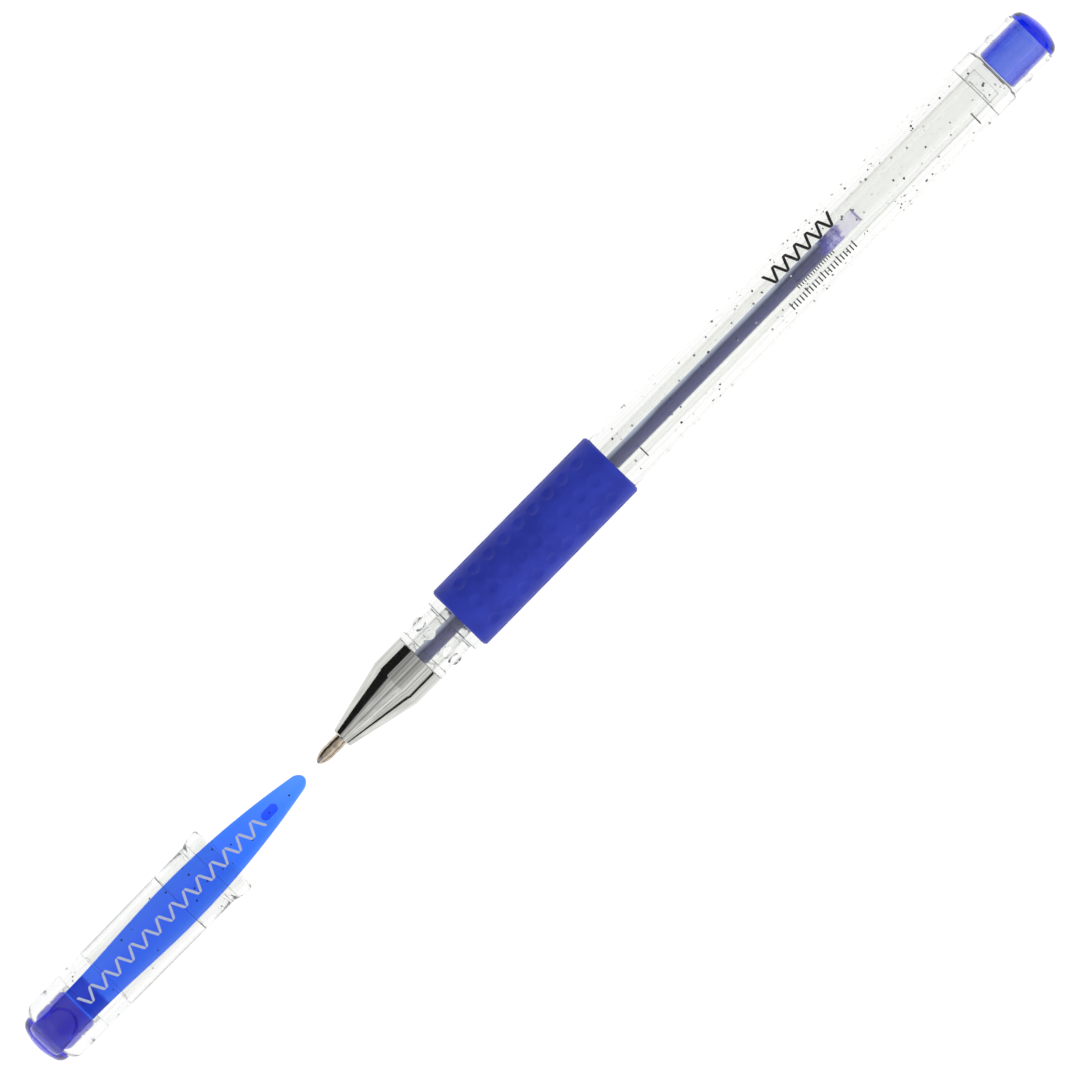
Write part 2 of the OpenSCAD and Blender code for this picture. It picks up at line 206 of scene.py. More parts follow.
class Paint:
    """A material with a Principled shader and short calls for the nodes that drive it."""

    def __init__(self, name, colour, roughness, metallic=0.0, ior=1.5, transmission=0.0):
        self.material = bpy.data.materials.new(name)
        self.material.use_nodes = True
        self.tree = self.material.node_tree
        self.shader = self.tree.nodes["Principled BSDF"]
        self.set("Base Color", (*colour, 1))
        self.set("Roughness", roughness)
        self.set("Metallic", metallic)
        self.set("IOR", ior)
        self.set("Transmission Weight", transmission)
        self.spot = self.tree.nodes.new("ShaderNodeTexCoord").outputs["Object"]

    def set(self, socket, value):
        self.shader.inputs[socket].default_value = value

    def link(self, a, b):
        self.tree.links.new(a, b)

    def stretched(self, sx, sy, sz):
        """Object coordinates scaled per axis."""
        node = self.tree.nodes.new("ShaderNodeMapping")
        node.inputs["Scale"].default_value = (sx, sy, sz)
        self.link(self.spot, node.inputs["Vector"])
        return node.outputs["Vector"]

    def noise(self, per_mm, detail=3, vector=None):
        """Noise with about this many features a millimetre."""
        node = self.tree.nodes.new("ShaderNodeTexNoise")
        node.inputs["Scale"].default_value = per_mm / MM
        node.inputs["Detail"].default_value = detail
        node.inputs["Roughness"].default_value = NOISE_ROUGHNESS
        self.link(vector if vector is not None else self.spot, node.inputs["Vector"])
        return node.outputs["Fac"]

    def remap(self, value, from_lo, from_hi, to_lo=0, to_hi=1):
        """A value taken smoothly from one range to another."""
        node = self.tree.nodes.new("ShaderNodeMapRange")
        node.interpolation_type = "SMOOTHSTEP"
        for key, number in zip(MAP_RANGE, (from_lo, from_hi, to_lo, to_hi)):
            node.inputs[key].default_value = number
        self.link(value, node.inputs["Value"])
        return node.outputs["Result"]

    def math(self, operation, a, b=None):
        node = self.tree.nodes.new("ShaderNodeMath")
        node.operation = operation
        for i, value in enumerate((a, b)):
            if value is None:
                continue
            if isinstance(value, (int, float)):
                node.inputs[i].default_value = value
            else:
                self.link(value, node.inputs[i])
        return node.outputs[0]

    def axis(self, letter):
        """One object coordinate, in metres."""
        node = self.tree.nodes.new("ShaderNodeSeparateXYZ")
        self.link(self.spot, node.inputs[0])
        return node.outputs[letter]

    def mix(self, factor, a, b):
        """Colours a and b mixed by a factor; either may be a colour or a socket."""
        node = self.tree.nodes.new("ShaderNodeMix")
        node.data_type = "RGBA"
        self.link(factor, node.inputs[0])
        for socket, value in ((node.inputs[6], a), (node.inputs[7], b)):
            if isinstance(value, tuple):
                socket.default_value = (*value, 1)
            else:
                self.link(value, socket)
        return node.outputs[2]

    def colour(self, socket):
        self.link(socket, self.shader.inputs["Base Color"])

    def vary(self, value, a, b, lo=0.35, hi=0.65):
        """Base colour that goes from a to b as a noise value goes from lo to hi."""
        mixed = self.mix(self.remap(value, lo, hi), a, b)
        self.colour(mixed)
        return mixed

    def rough(self, value, lo, hi):
        """Roughness that follows a value between two limits."""
        self.link(self.remap(value, 0.3, 0.7, lo, hi), self.shader.inputs["Roughness"])

    def bump(self, height, depth_mm, strength=1.0):
        node = self.tree.nodes.new("ShaderNodeBump")
        node.inputs["Strength"].default_value = strength
        node.inputs["Distance"].default_value = depth_mm * MM
        self.link(height, node.inputs["Height"])
        previous = self.shader.inputs["Normal"].links
        if previous:
            self.link(previous[0].from_socket, node.inputs["Normal"])
        self.link(node.outputs["Normal"], self.shader.inputs["Normal"])


# Clear moulded plastic with faint flow lines along the pen and a little handling haze.
clear = Paint("clear_shell", (0.915, 0.920, 0.902), 0.012, ior=1.56, transmission=1.0)
clear_flow = clear.noise(0.5, 2, clear.stretched(0.12, 1, 1))
clear.rough(clear.noise(0.6, 4), 0.006, 0.024)
clear.bump(clear_flow, 0.004, 0.6)
clear_shell = clear.material

grip = Paint("grip_rubber", (0.023, 0.033, 0.39), 0.5, ior=1.5)
grip_grain = grip.noise(9, 3)
grip_patch = grip.noise(0.25, 3)
grip.vary(grip_patch, (0.011, 0.024, 0.33), (0.017, 0.034, 0.40))
grip.rough(grip_grain, 0.42, 0.6)
grip.bump(grip_grain, 0.012, 0.6)
grip.set("Sheen Weight", 0.06)
grip.set("Specular IOR Level", 0.25)
grip.set("Sheen Roughness", 0.4)
grip.set("Sheen Tint", (0.75, 0.8, 1.0, 1))
grip_rubber = grip.material

chrome = Paint("chrome_plate", (0.70, 0.70, 0.715), 0.07, metallic=1.0)
chrome_streak = chrome.noise(1.1, 4, chrome.stretched(0.08, 1, 1))
chrome_fine = chrome.noise(6, 3, chrome.stretched(0.1, 1, 1))
chrome.vary(chrome_streak, (0.505, 0.505, 0.475), (0.665, 0.665, 0.635), 0.35, 0.7)
chrome.rough(chrome_fine, 0.05, 0.13)
chrome.bump(chrome_streak, 0.012, 0.6)
chrome_plate = chrome.material


def tinted_plastic(name, ior, haze, per_mm, dye, density_per_mm, spot_layer=None):
    """See-through plastic dyed in the mass, so that it is deeper where it is thicker."""
    paint = Paint(name, (0.97, 0.98, 1.0), haze, ior=ior, transmission=1.0)
    if spot_layer:
        layer = paint.tree.nodes.new("ShaderNodeAttribute")
        layer.attribute_name = spot_layer
        paint.spot = layer.outputs["Vector"]
    drift = paint.noise(per_mm, 3, paint.stretched(0.4, 1, 1))
    tint = paint.vary(drift, (0.93, 0.95, 1.0), (1.0, 1.0, 1.0))
    paint.rough(paint.noise(1.5, 3), haze * 0.6, haze * 1.6)
    paint.bump(paint.noise(0.7, 2), 0.006, 0.5)
    volume = paint.tree.nodes.new("ShaderNodeVolumeAbsorption")
    volume.inputs["Color"].default_value = (*dye, 1)
    volume.inputs["Density"].default_value = density_per_mm / MM
    paint.link(volume.outputs[0], paint.tree.nodes["Material Output"].inputs["Volume"])
    return paint, tint


blue_tint = tinted_plastic("blue_tint", 1.5, 0.03, 0.5, (0.06, 0.36, 0.96), 0.86)[0].material

REST_PLACE = "rest_place"
# Where the crown's painted sheen and the clip's tint change, in metres in the row's frame: the two ends of
# each fade.
CROWN_SHEEN_FADE, BLADE_FADE = (-0.0900, -0.0895), (-0.080, -0.056)
# Painted shade on the web behind the blade: where it starts and where it ends.
WEB_SHADE_BACK, WEB_SHADE_FRONT = (-0.0896, -0.0892), (-0.0866, -0.0860)
# Painted shade along the pad's outline: its radius, its fade and the heights it covers, in metres.
PAD_SHADE_R, PAD_SHADE_FADE, PAD_SHADE_Z = 0.00212, (0.00008, 0.00030), (0.0102, 0.0105)
# How much light the crown still lets through where its painted sheen is.
CROWN_SHEEN_CLARITY = 0.965
clip_paint, clip_tint = tinted_plastic("blue_clip", 1.5, 0.04, 0.3, (0.11, 0.48, 0.99), 2.15, REST_PLACE)


def tint_clip(paint, tint):
    """Paints sheen on the crown and shade on the web behind the blade and along the pad's outline, and tints
    the blade's tip, by place at rest.
    """
    x, y, z = (paint.axis(letter) for letter in "XYZ")
    crown_sheen_share = paint.remap(x, *CROWN_SHEEN_FADE, 1, 0)
    tint = paint.mix(paint.remap(x, *BLADE_FADE), tint, (0.35, 0.71, 1.0))
    # Painted shade: a darker, greyer blue on the web behind the blade, where the clip joins the crown.
    web_shade_share = paint.math("MULTIPLY", paint.remap(x, *WEB_SHADE_FRONT, 1, 0), paint.remap(x, *WEB_SHADE_BACK))
    tint = paint.mix(web_shade_share, tint, (0.15, 0.26, 0.64))
    # Painted sheen: a pinkish tint on the crown that stands in for its surface reflection and haze.
    tint = paint.mix(crown_sheen_share, tint, (0.92, 0.70, 0.80))
    # Painted shade: a dark purple line along the rim of the D-shaped pad, where light is bent away.
    pad_x = paint.math("SUBTRACT", x, (PAD_X + BALL_X) * MM)
    square = paint.math("ADD", paint.math("MULTIPLY", pad_x, pad_x), paint.math("MULTIPLY", y, y))
    off_pad_shade = paint.math("ABSOLUTE", paint.math("SUBTRACT", paint.math("POWER", square, 0.5), PAD_SHADE_R))
    band = paint.remap(off_pad_shade, *PAD_SHADE_FADE, 1, 0)
    band = paint.math("MULTIPLY", band, paint.remap(pad_x, -0.0001, 0.0002))
    band = paint.math("MULTIPLY", band, paint.remap(z, *PAD_SHADE_Z))
    paint.colour(paint.mix(band, tint, (0.30, 0.12, 0.26)))
    # Painted sheen: the crown lets a little less light through, so that its pinkish base colour shows as
    # haze.
    paint.link(paint.remap(crown_sheen_share, 0, 1, 1.0, CROWN_SHEEN_CLARITY), paint.shader.inputs["Transmission Weight"])


tint_clip(clip_paint, clip_tint)
blue_clip = clip_paint.material

refill = Paint("refill_plastic", (0.985, 0.99, 0.985), 0.08, ior=1.49, transmission=1.0)
refill_drawn = refill.noise(1.4, 3, refill.stretched(0.05, 1, 1))
refill.rough(refill_drawn, 0.04, 0.14)
refill.bump(refill_drawn, 0.006, 0.6)
refill.set("Specular Tint", (0.4, 0.4, 0.4, 1))
refill_plastic = refill.material

holder = Paint("holder_plastic", (0.80, 0.79, 0.75), 0.4)
holder.vary(holder.noise(0.7, 3), (0.78, 0.77, 0.73), (0.84, 0.83, 0.80))
holder.bump(holder.noise(6, 2), 0.006, 0.5)
holder_plastic = holder.material

tip = Paint("tip_metal", (0.60, 0.50, 0.38), 0.18, metallic=1.0)
tip_turned = tip.noise(14, 2, tip.stretched(1, 0.05, 0.05))
tip.vary(tip.noise(1.8, 3), (0.44, 0.36, 0.29), (0.62, 0.53, 0.41))
tip.rough(tip_turned, 0.12, 0.26)
tip.bump(tip_turned, 0.006, 0.8)
tip_metal = tip.material

carbide = Paint("ball_carbide", (0.30, 0.27, 0.36), 0.2, metallic=1.0)
carbide.vary(carbide.noise(5, 3), (0.22, 0.18, 0.34), (0.38, 0.36, 0.42))
carbide.rough(carbide.noise(12, 2), 0.15, 0.32)
ball_carbide = carbide.material

# Where the ink's column ends and where its film thins out, in metres in the row's frame along x.
INK_TAIL_FADE, INK_FILM_FADE = (0.0540, 0.0552), (0.0553, 0.0588)
ink = Paint("gel_ink", (0.03, 0.03, 0.12), 0.2, ior=1.4)
ink.set("Specular IOR Level", 0.15)
ink_wave = ink.noise(0.35, 3, ink.stretched(0.3, 1, 1))
ink_drift = ink.math("MULTIPLY", ink.math("SUBTRACT", ink_wave, 0.5), 0.0005)
ink_height = ink.math("ADD", ink.axis("Y"), ink_drift)
ink_low = ink.mix(ink.remap(ink_height, -0.0001, 0.0003), (0.042, 0.045, 0.20), (0.018, 0.023, 0.14))
ink_side = ink.mix(ink.remap(ink_height, 0.00030, 0.00088), ink_low, (0.66, 0.73, 0.98))
ink_blobs = ink.noise(0.9, 3)
ink_tail_x = ink.math("ADD", ink.axis("X"), ink.math("MULTIPLY", ink.math("SUBTRACT", ink_blobs, 0.5), 0.005))
ink_tail = ink.remap(ink_tail_x, *INK_TAIL_FADE)
ink_speckle = ink.math("MULTIPLY", ink.math("SUBTRACT", ink.noise(1.6, 2), 0.5), 0.009)
ink_thin = ink.remap(ink.math("ADD", ink.axis("X"), ink_speckle), *INK_FILM_FADE)
ink_end = ink.mix(ink_thin, (0.085, 0.075, 0.50), (0.60, 0.56, 0.93))
ink.colour(ink.mix(ink_tail, ink_side, ink_end))
ink.bump(ink_blobs, 0.01, 0.5)
gel_ink = ink.material

grease = Paint("follower_grease", (0.86, 0.83, 0.95), 0.05, ior=1.47, transmission=0.95)
grease.vary(grease.noise(0.8, 3), (0.82, 0.78, 0.95), (0.92, 0.90, 0.98))
grease.bump(grease.noise(1.5, 3), 0.01, 0.5)
follower_grease = grease.material

seal = Paint("seal_rubber", (0.95, 0.96, 0.98), 0.25, ior=1.42, transmission=1.0)
seal.vary(seal.noise(1.2, 3), (0.92, 0.94, 0.97), (0.97, 0.98, 1.0))
seal.bump(seal.noise(8, 3), 0.01, 0.5)
seal_rubber = seal.material


def print_ink(name, colour, worn):
    """Print that is a little worn in places."""
    paint = Paint(name, colour, 0.45)
    paint.vary(paint.noise(4, 4), colour, worn, 0.55, 0.75)
    paint.rough(paint.noise(6, 2), 0.35, 0.6)
    return paint.material


black_print = print_ink("black_print", (0.012, 0.012, 0.014), (0.05, 0.05, 0.055))
grey_print = print_ink("grey_print", (0.42, 0.47, 0.62), (0.26, 0.33, 0.60))

flake = Paint("glitter_flake", (0.4, 0.4, 0.41), 0.25, metallic=0.9)
flake.vary(flake.noise(0.8, 1), (0.16, 0.16, 0.17), (0.62, 0.62, 0.63), 0.4, 0.6)
glitter_flake = flake.material

floor_paint = Paint("floor", (0.90, 0.90, 0.90), 0.75)
floor_paint.colour(floor_paint.mix(floor_paint.noise(0.02, 3), (0.235, 0.235, 0.235), (0.245, 0.245, 0.245)))
floor_paint.bump(floor_paint.noise(0.8, 3), 0.01, 0.3)
floor_paint.set("Specular IOR Level", 0.1)
floor_paint.set("Emission Color", (1, 1, 1, 1))
floor_paint.set("Emission Strength", 0.87)


# ---------------------------------------------------------------- barrel

BARREL_END, SEAT_FRONT, SEAT_R = 138.9, 131.6, 4.05
NUB_COUNT, NUB_X, NUB_R, NUB_CENTRE = 6, 23.3, 1.15, 3.05
GRIP_FRONT, GRIP_END, GRIP_R, GRIP_SEAT_R = 27.5, 57.3, 5.125, 4.0
THREAD_START, THREAD_END, THREAD_PITCH, THREAD_DEPTH, THREAD_FADE = 15.95, 19.6, 0.9, 0.28, 0.3


def neck_relief(x, turn, r):
    """Round snap nubs on the neck and a thread cut into the spigot."""
    out = r.copy()
    on_neck = (abs(x - NUB_X) < NUB_R) & (abs(r - NECK_R) < 0.01)
    for i in range(NUB_COUNT):
        gap = wrap_gap(turn, -math.radians(35 + 360 / NUB_COUNT * i))
        reach = NUB_R ** 2 - (x - NUB_X) ** 2 - (NUB_CENTRE * np.sin(gap)) ** 2
        height = NUB_CENTRE * np.cos(gap) + np.sqrt(np.maximum(reach, 0))
        on_nub = on_neck & (reach > 0) & (np.cos(gap) > 0.8)
        out = np.where(on_nub, np.maximum(out, height), out)
    on_thread = (x > THREAD_START) & (x < THREAD_END) & (abs(r - SPIGOT_R) < 0.01)
    phase = (x / THREAD_PITCH - turn / (2 * math.pi)) % 1.0
    groove = THREAD_DEPTH * np.clip(1 - abs(phase - 0.5) / 0.28, 0, 1)
    fade = np.clip((x - THREAD_START) / THREAD_FADE, 0, 1) * np.clip((THREAD_END - x) / THREAD_FADE, 0, 1)
    return np.where(on_thread, out - groove * fade, out)


barrel_outline = rounded(
    [(15.6, SPIGOT_R, 0.12)] + run(15.9, SPIGOT_R, 19.7, SPIGOT_R, 48)
    + [(20.0, SPIGOT_R), (20.0, 4.1, 0.15), (21.05, 4.1, 0.15), (21.05, NECK_R, 0.08)]
    + run(22.1, NECK_R, 24.5, NECK_R, 30)
    + [(26.1, NECK_R, 0.08), (26.1, BARREL_R, 0.18), (GRIP_FRONT, BARREL_R, 0.05), (GRIP_FRONT, GRIP_SEAT_R),
       (GRIP_END, GRIP_SEAT_R), (GRIP_END, BARREL_R, 0.12)]
    + run(57.6, BARREL_R, 131.1, BARREL_R, 36)
    + [(131.4, BARREL_R, 0.12), (SEAT_FRONT, 4.3, 0.06), (SEAT_FRONT, SEAT_R, 0.05), (134.0, SEAT_R, 0.3),
       (134.6, 4.25, 0.4), (135.2, SEAT_R, 0.3), (137.9, SEAT_R, 0.2), (138.3, 4.15, 0.3),
       (138.7, SEAT_R, 0.1), (BARREL_END, SEAT_R, 0.05), (BARREL_END, PLUG_BORE_R, 0.05),
       (135.07, PLUG_BORE_R, 0.1), (134.6, BEAD_BORE_R, 0.3), (134.13, PLUG_BORE_R, 0.1),
       (128.1, PLUG_BORE_R, 0.12), (128.1, BORE_R, 0.06), (15.6, BORE_R, 0.08)])
barrel = lathe("barrel_shell", barrel_outline, clear_shell, 192, relief=neck_relief)
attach(barrel, "pen")
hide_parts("barrel")


# ---------------------------------------------------------------- grip

DIMPLE_R, DIMPLE_DEPTH, DIMPLE_PITCH = 0.95, 0.25, 2.85
DIMPLE_ROWS, DIMPLES_PER_ROW, FIRST_DIMPLE = 9, 9, GRIP_FRONT + 3.5


def grip_relief(x, turn, r):
    """Rows of round dimples, each a shallow spherical bowl."""
    sphere = (DIMPLE_R ** 2 + DIMPLE_DEPTH ** 2) / (2 * DIMPLE_DEPTH)
    outside = r > BARREL_R
    sink = np.zeros_like(r)
    for row in range(DIMPLE_ROWS):
        across = GRIP_R * wrap_gap(turn, math.radians(360 / DIMPLE_ROWS * row))
        for i in range(DIMPLES_PER_ROW):
            reach = np.hypot(across, x - (FIRST_DIMPLE + i * DIMPLE_PITCH))
            bowl = np.sqrt(np.maximum(sphere ** 2 - reach ** 2, 0)) - (sphere - DIMPLE_DEPTH)
            sink = np.maximum(sink, np.where(reach < DIMPLE_R, bowl, 0))
    return np.where(outside, r - sink, r)


grip_outline = rounded(
    [(GRIP_FRONT, 4.02, 0.05), (GRIP_FRONT, GRIP_R - 0.3, 0.1), (GRIP_FRONT + 0.3, GRIP_R, 0.15)]
    + run(GRIP_FRONT + 0.5, GRIP_R, GRIP_END - 0.5, GRIP_R, 210)
    + [(GRIP_END - 0.3, GRIP_R, 0.15), (GRIP_END, GRIP_R - 0.3, 0.1), (GRIP_END, 4.02, 0.05)])
grip_sleeve = lathe("grip_sleeve", grip_outline, grip_rubber, 252, relief=grip_relief, sharp=50)
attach(grip_sleeve, "pen")
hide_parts("grip")


# ---------------------------------------------------------------- nose cone, tip and ball

CONE_END, CONE_R = 19.98, 4.0
cone_outline = rounded(
    [(4.7, 1.0, 0.04), (4.7, 1.4, 0.1), (4.85, 1.55, 0.12), (15.2, CONE_R, 1.2), (19.4, CONE_R),
     (CONE_END, CONE_R, 0.15), (CONE_END, 3.3, 0.1), (15.5, 3.3), (15.5, 2.65), (13.5, 2.65), (6.4, 1.0)],
    steps=6)
nose = lathe("nose_cone_plated", cone_outline, chrome_plate, 192)
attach(nose, "cone")
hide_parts("nose_cone")

BALL_R, BALL_GAP, TIP_R = 0.35, 0.02, 0.95
socket = arc(BALL_R, 0, BALL_R + BALL_GAP, 114, 20, 10)
tip_outline = rounded(
    [(0.2, 0.42, 0.02)] + arc_through((0.26, 0.46), (1.475, 0.875), (2.3, TIP_R), 8)[1:]
    + [(2.55, TIP_R), (2.62, 0.91), (2.78, 0.91), (2.85, TIP_R), (4.2, TIP_R), (4.26, 0.92), (4.36, 0.92),
       (4.42, TIP_R), (7.58, TIP_R, 0.05), (7.58, 0.8), (11.4, 0.8, 0.1), (11.4, 0.5), (2.0, 0.5),
       (2.0, 0.12), (0.75, 0.12)]) + socket[::-1]
tip_piece = lathe("tip_body_turned", tip_outline, tip_metal, 96)
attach(tip_piece, "pen")
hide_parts("tip_body")

ball = lathe("writing_ball_ground", arc(BALL_R, 0, BALL_R, 180, 0, 40), ball_carbide, 64, closed=False)
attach(ball, "ball")
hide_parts("writing_ball")

holder_outline = rounded(
    [(7.6, 0.82, 0.03), (7.6, 1.15, 0.08), (12.9, 2.36, 0.2), (13.1, TUBE_R, 0.1), (14.48, TUBE_R, 0.08),
     (14.48, 1.18), (18.8, 1.18, 0.1), (19.0, 1.1, 0.03), (19.0, 0.6), (11.5, 0.6), (11.5, 0.82)])
holder_piece = lathe("tip_holder_moulded", holder_outline, holder_plastic, 96)
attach(holder_piece, "pen")
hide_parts("tip_holder")


# ---------------------------------------------------------------- refill

TUBE_START, TUBE_END = 14.5, 130.1
INK_FRONT, INK_END, INK_R, FOLLOWER_END, FOLLOWER_R = 19.02, 100.2, 1.18, 104.8, 1.15
tube_outline = rounded(
    [(TUBE_START, TUBE_R, 0.15), (TUBE_END, TUBE_R, 0.12), (TUBE_END, TUBE_BORE_R, 0.05),
     (TUBE_START, TUBE_BORE_R, 0.05)])
tube = lathe("refill_tube_drawn", tube_outline, refill_plastic, 160)
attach(tube, "pen")
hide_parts("refill_tube")

ink_outline = [(INK_FRONT, 0.0), (INK_FRONT, INK_R)] + run(INK_FRONT, INK_R, INK_END, INK_R, 120) + [
    (INK_END, INK_R), (INK_END, 0.0)]
ink_piece = lathe("ink_fill", ink_outline, gel_ink, 64, closed=False, sharp=50)


FILM_OUTER_R, FILM_INNER_R = 1.187, 1.163


def smear(segments=96, stations=10):
    """Film of ink left on the tube's wall round the follower, with uneven fingers."""
    turn = np.arange(segments) * 2 * math.pi / segments
    ends = INK_END + 0.5 + 0.55 * (1 + np.sin(3 * turn + 0.6)) * 0.6 + 0.5 * np.sin(5 * turn + 2.1) ** 2 \
        + 0.35 * np.sin(11 * turn) ** 2
    verts, faces = [], []
    for radius in (FILM_OUTER_R, FILM_INNER_R):
        for j in range(stations):
            for k in range(segments):
                x = INK_END + (ends[k] - INK_END) * j / (stations - 1)
                verts.append((x, radius * math.sin(turn[k]), radius * math.cos(turn[k])))
    size = stations * segments
    for k in range(segments):
        m = (k + 1) % segments
        for j in range(stations - 1):
            a, b = j * segments + k, j * segments + m
            c, d = (j + 1) * segments + m, (j + 1) * segments + k
            faces.append((a, b, c, d))
            faces.append((size + d, size + c, size + b, size + a))
        faces.append((k, m, size + m, size + k))
        tail = (stations - 1) * segments
        faces.append((tail + k, tail + m, size + tail + m, size + tail + k))
    return verts, faces


def join(target, *others):
    """Puts other objects' meshes into the target's, as separate shells."""
    bm = bmesh.new()
    bm.from_mesh(target.data)
    for other in others:
        bm.from_mesh(other.data)
    bm.to_mesh(target.data)
    bm.free()
    for other in others:
        bpy.data.objects.remove(other)
    smooth(target)
    return target


ink_film = add_mesh("ink_film", *smear(), gel_ink)
join(ink_piece, ink_film)
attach(ink_piece, "pen")
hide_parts("ink_column")
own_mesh(ink_piece)

dish = arc(FOLLOWER_END + 1.35, 0, 1.8, 180, 140.4, 10)
follower_outline = rounded([(INK_END + 0.02, 0), (INK_END + 0.02, FOLLOWER_R, 0.04)], closed=False) + [
    (FOLLOWER_END - 0.05, FOLLOWER_R)] + dish[::-1]
follower = lathe("follower_plug", follower_outline, follower_grease, 96, closed=False)
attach(follower, "follower")
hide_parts("ink_follower")


# ---------------------------------------------------------------- plugs

DOME_R, DOME_H, DOME_CORNER = 3.85, 2.1, 1.5
SHANK_R, HOLLOW_R = 3.25, 1.6


def plug_outline(x0, x1, bead_at):
    """Outline of a plug from its open front at x0 to the dome behind the wall's end x1."""
    rim_r = DOME_R - DOME_CORNER
    rise = DOME_H - 0.15
    crown_r = (rise ** 2 + rim_r ** 2 - DOME_CORNER ** 2) / (2 * (rise - DOME_CORNER))
    base = x1 + 0.02
    top = math.degrees(math.atan2(0.15 - DOME_H + crown_r, rim_r))
    rim = arc(base + 0.15, rim_r, DOME_CORNER, 90, 90 - top, 12)
    crown = arc(base + DOME_H - crown_r, 0, crown_r, 90 - top, 0, 16)
    return rounded(
        [(x1 - 0.05, 0), (x1 - 0.05, HOLLOW_R, 0.3), (x0, HOLLOW_R, 0.12), (x0, SHANK_R - 0.35, 0.1),
         (x0 + 0.35, SHANK_R, 0.15), (bead_at - 0.45, SHANK_R, 0.2), (bead_at, SHANK_R + 0.12, 0.3),
         (bead_at + 0.45, SHANK_R, 0.2), (base, SHANK_R), (base, DOME_R, 0.05)] + rim[1:] + crown[1:],
        closed=False)


end_plug_outline = plug_outline(131.9, BARREL_END, 134.6)
end_plug = lathe("end_plug_moulded", end_plug_outline, blue_tint, 160, closed=False)
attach(end_plug, "pen")
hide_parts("end_plug")


# ---------------------------------------------------------------- cap

LEDGE_X, CROWN_BEAD_X = CAP_MOUTH - 27.3, -48.6
cap_outline = (
    [(CAP_END, PLUG_BORE_R)] + arc(CAP_END + 1.6, 3.27, 1.6, 180, 90, 16)[1:]
    + [(-46.0, 4.90), (-40.0, 4.94), (-34.0, 4.98), (-28.0, 5.015)]
    + arc_through((-21.2, 5.05), (-20.35, 5.345), (-19.5, 5.494), 12)
    + arc(CAP_MOUTH - 0.444, 5.05, 0.444, 90, 0, 10)
    + rounded(
        [(CAP_MOUTH, 5.0), (CAP_MOUTH, 4.86, 0.05), (CAP_MOUTH - 0.25, 4.6, 0.1),
         (CAP_MOUTH - 2.2, 4.6, 0.08), (CAP_MOUTH - 2.2, 4.32, 0.05), (CAP_MOUTH - 2.8, 4.32, 0.1),
         (CAP_MOUTH - 2.95, 4.26, 0.1), (CAP_MOUTH - 3.25, 4.26, 0.1), (CAP_MOUTH - 3.4, 4.32, 0.1),
         (CAP_MOUTH - 8.5, 4.32, 0.1), (CAP_MOUTH - 8.5, 4.12, 0.08), (CAP_MOUTH - 23, 4.12, 0.06),
         (CAP_MOUTH - 23, BORE_R, 0.06),
         (LEDGE_X, BORE_R, 0.08), (LEDGE_X, PLUG_BORE_R, 0.05), (-48.13, PLUG_BORE_R, 0.1),
         (CROWN_BEAD_X, BEAD_BORE_R, 0.3), (-49.07, PLUG_BORE_R, 0.1), (CAP_END + 0.1, PLUG_BORE_R)],
        closed=False))
cap_shell = lathe("cap_shell_clear", cap_outline, clear_shell, 192)
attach(cap_shell, "cap")
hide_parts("cap_shell")

SEAL_FACE, SEAL_BACK, SEAL_R = LEDGE_X - 0.02, LEDGE_X - 0.92, 3.25
seal_dish = arc(SEAL_FACE + 0.9, 0, 1.2, 180, 138.6, 8)
seal_outline = seal_dish + rounded(
    [(SEAL_FACE, 0.8), (SEAL_FACE, SEAL_R, 0.1), (SEAL_BACK, SEAL_R, 0.1), (SEAL_BACK, 0)], closed=False)[1:]
seal_piece = lathe("tip_seal_disc", seal_outline, seal_rubber, 96, closed=False)
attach(seal_piece, "cap")
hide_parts("tip_seal")


# ---------------------------------------------------------------- crown and clip, one moulding

CLIP_TIP, CLIP_WIDEST, CLIP_SWELL = CAP_MOUTH + 15.7, CAP_MOUTH - 8.8, 19
CLIP_ROOT_HALF, CLIP_WIDE_HALF, CLIP_TAPER, CLIP_TIP_R = 2.65, 3.3, 0.0039, 1.2

top_line = arc_through((-49.48, 7.35), (-30.0, 8.136), (CLIP_TIP, 6.75), 80)
under_line = arc_through((-49.48, 5.75), (-30.0, 6.55), (CLIP_TIP, 5.95), 80)


def clip_half(x):
    """Half width of the clip at x."""
    swell = max(0.0, min(1.0, (x - CLIP_WIDEST) / CLIP_SWELL + 1))
    step = swell * swell * (3 - 2 * swell)
    if x < CLIP_WIDEST:
        return CLIP_ROOT_HALF + (CLIP_WIDE_HALF - CLIP_ROOT_HALF) * step
    full = CLIP_WIDE_HALF - CLIP_TAPER * (x - CLIP_WIDEST) ** 2
    round_x = CLIP_TIP - CLIP_TIP_R
    if x > round_x:
        full *= math.sqrt(max(0.0, 1 - ((x - round_x) / CLIP_TIP_R) ** 2))
    return full


def height_on(line, x):
    return float(np.interp(x, [p[0] for p in line], [p[1] for p in line]))


def clip_top_at(x, y):
    """Height of the clip's crowned upper face."""
    half = clip_half(x)
    share = min(0.999, abs(y) / max(half, 1e-3))
    top, under = height_on(top_line, x), height_on(under_line, x)
    return (top + under) / 2 + (top - under) / 2 * (1 - share ** 5) ** 0.2


def loft(name, rows, material, around=64):
    """A closed bar through cross-sections; a row is top (x, z), bottom (x, z), half width and squareness."""
    verts, faces = [], []
    for top, under, half, power in rows:
        for k in range(around):
            a = 2 * math.pi * k / around
            y = half * math.copysign(abs(math.cos(a)) ** (2 / power), math.cos(a))
            v = 0.5 + 0.5 * math.copysign(abs(math.sin(a)) ** (2 / power), math.sin(a))
            verts.append((under[0] + (top[0] - under[0]) * v, y, under[1] + (top[1] - under[1]) * v))
    for i in range(len(rows) - 1):
        for k in range(around):
            m = (k + 1) % around
            faces.append((i * around + k, i * around + m, (i + 1) * around + m, (i + 1) * around + k))
    faces.append(list(range(around)))
    faces.append([(len(rows) - 1) * around + k for k in range(around)])
    return add_mesh(name, verts, faces, material)


